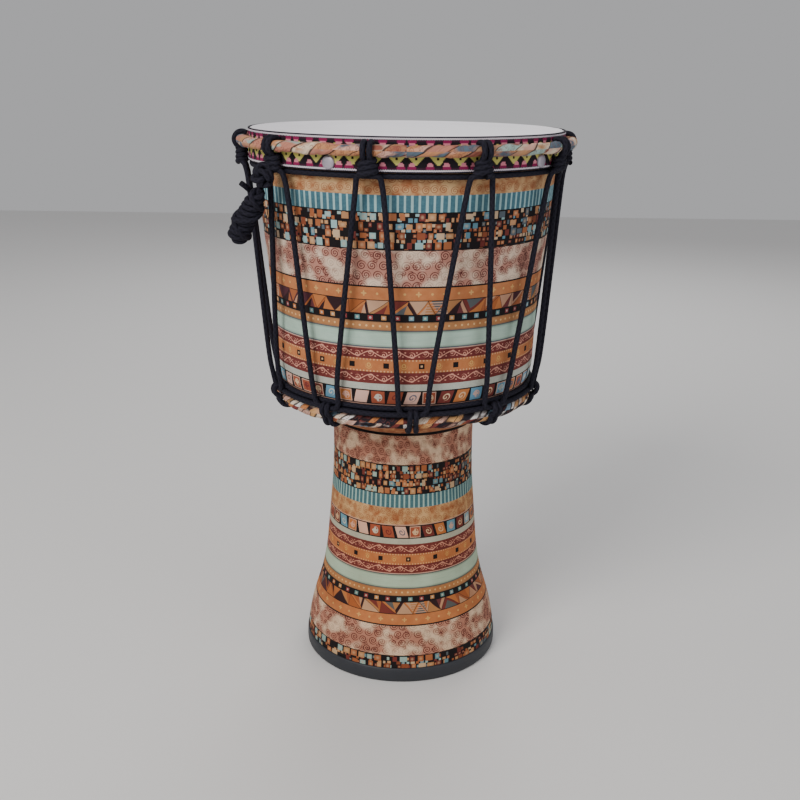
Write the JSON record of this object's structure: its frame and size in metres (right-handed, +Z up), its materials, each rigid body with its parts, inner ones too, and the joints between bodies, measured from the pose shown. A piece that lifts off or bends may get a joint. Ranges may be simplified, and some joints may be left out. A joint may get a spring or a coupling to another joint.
{
  "type": "djembe",
  "caption": "Goblet-shaped hand drum with a cloth-covered bowl and flaring stem, a white head, a wrapped crown ring, rope lacing and a bound rope tail",
  "frame": {"origin": "centre of the foot's flat underside, on the drum's axis", "axes": "+Z up along the drum's axis to the head, -Y to the front as pictured, +X to the right"},
  "size_m": [0.2798, 0.2756, 0.456],
  "materials": {
    "shell_plastic": "moulded, lightly textured",
    "bowl_cloth": "printed woven cotton, bonded flat",
    "stem_cloth": "printed woven cotton, bonded flat",
    "foot_rubber": "satin moulded",
    "head_film": "satin synthetic drum skin",
    "hoop_steel": "plain rod",
    "ring_cloth": "printed cotton, twisted and wound",
    "ribbon": "jacquard woven",
    "tack_nickel": "satin nickel dome",
    "rope": "braided synthetic cord"
  },
  "bodies": {
    "drum": {"bowl_shell": "shell_plastic", "stem_shell": "shell_plastic", "bowl_fabric": "bowl_cloth", "stem_fabric": "stem_cloth", "foot_ring": "foot_rubber", "drum_head": "head_film", "flesh_hoop": "hoop_steel", "ribbon_trim": "ribbon", "crown_hoop": "hoop_steel", "crown_wrap": "ring_cloth", "lower_hoop": "hoop_steel", "lower_wrap": "ring_cloth", "head_stud_1": "tack_nickel", "head_stud_2": "tack_nickel", "head_stud_3": "tack_nickel", "head_stud_4": "tack_nickel", "head_stud_5": "tack_nickel", "top_loop_01": "rope", "top_loop_02": "rope", "top_loop_03": "rope", "top_loop_04": "rope", "top_loop_05": "rope", "top_loop_06": "rope", "top_loop_07": "rope", "top_loop_08": "rope", "top_loop_09": "rope", "top_loop_10": "rope", "lower_loop_01": "rope", "lower_loop_02": "rope", "lower_loop_03": "rope", "lower_loop_04": "rope", "lower_loop_05": "rope", "lower_loop_06": "rope", "lower_loop_07": "rope", "lower_loop_08": "rope", "lower_loop_09": "rope", "lower_loop_10": "rope", "lacing_01": "rope", "lacing_02": "rope", "lacing_03": "rope", "lacing_04": "rope", "lacing_05": "rope", "lacing_06": "rope", "lacing_07": "rope", "lacing_08": "rope", "lacing_09": "rope", "lacing_10": "rope", "waist_rope_1": "rope", "waist_rope_2": "rope", "waist_rope_3": "rope", "upper_cord": "rope", "tail_knot": "rope"},
    "rope_tail": {"tail_neck": "rope", "tail_hank": "rope"}
  },
  "joints": [
    {"name": "tail_swing", "type": "hinge", "parent": "drum", "child": "rope_tail", "pos_m": [-0.1061, -0.08903, 0.4165], "axis": [-0.6428, 0.766, 0], "range_deg": [0, 60]}
  ]
}
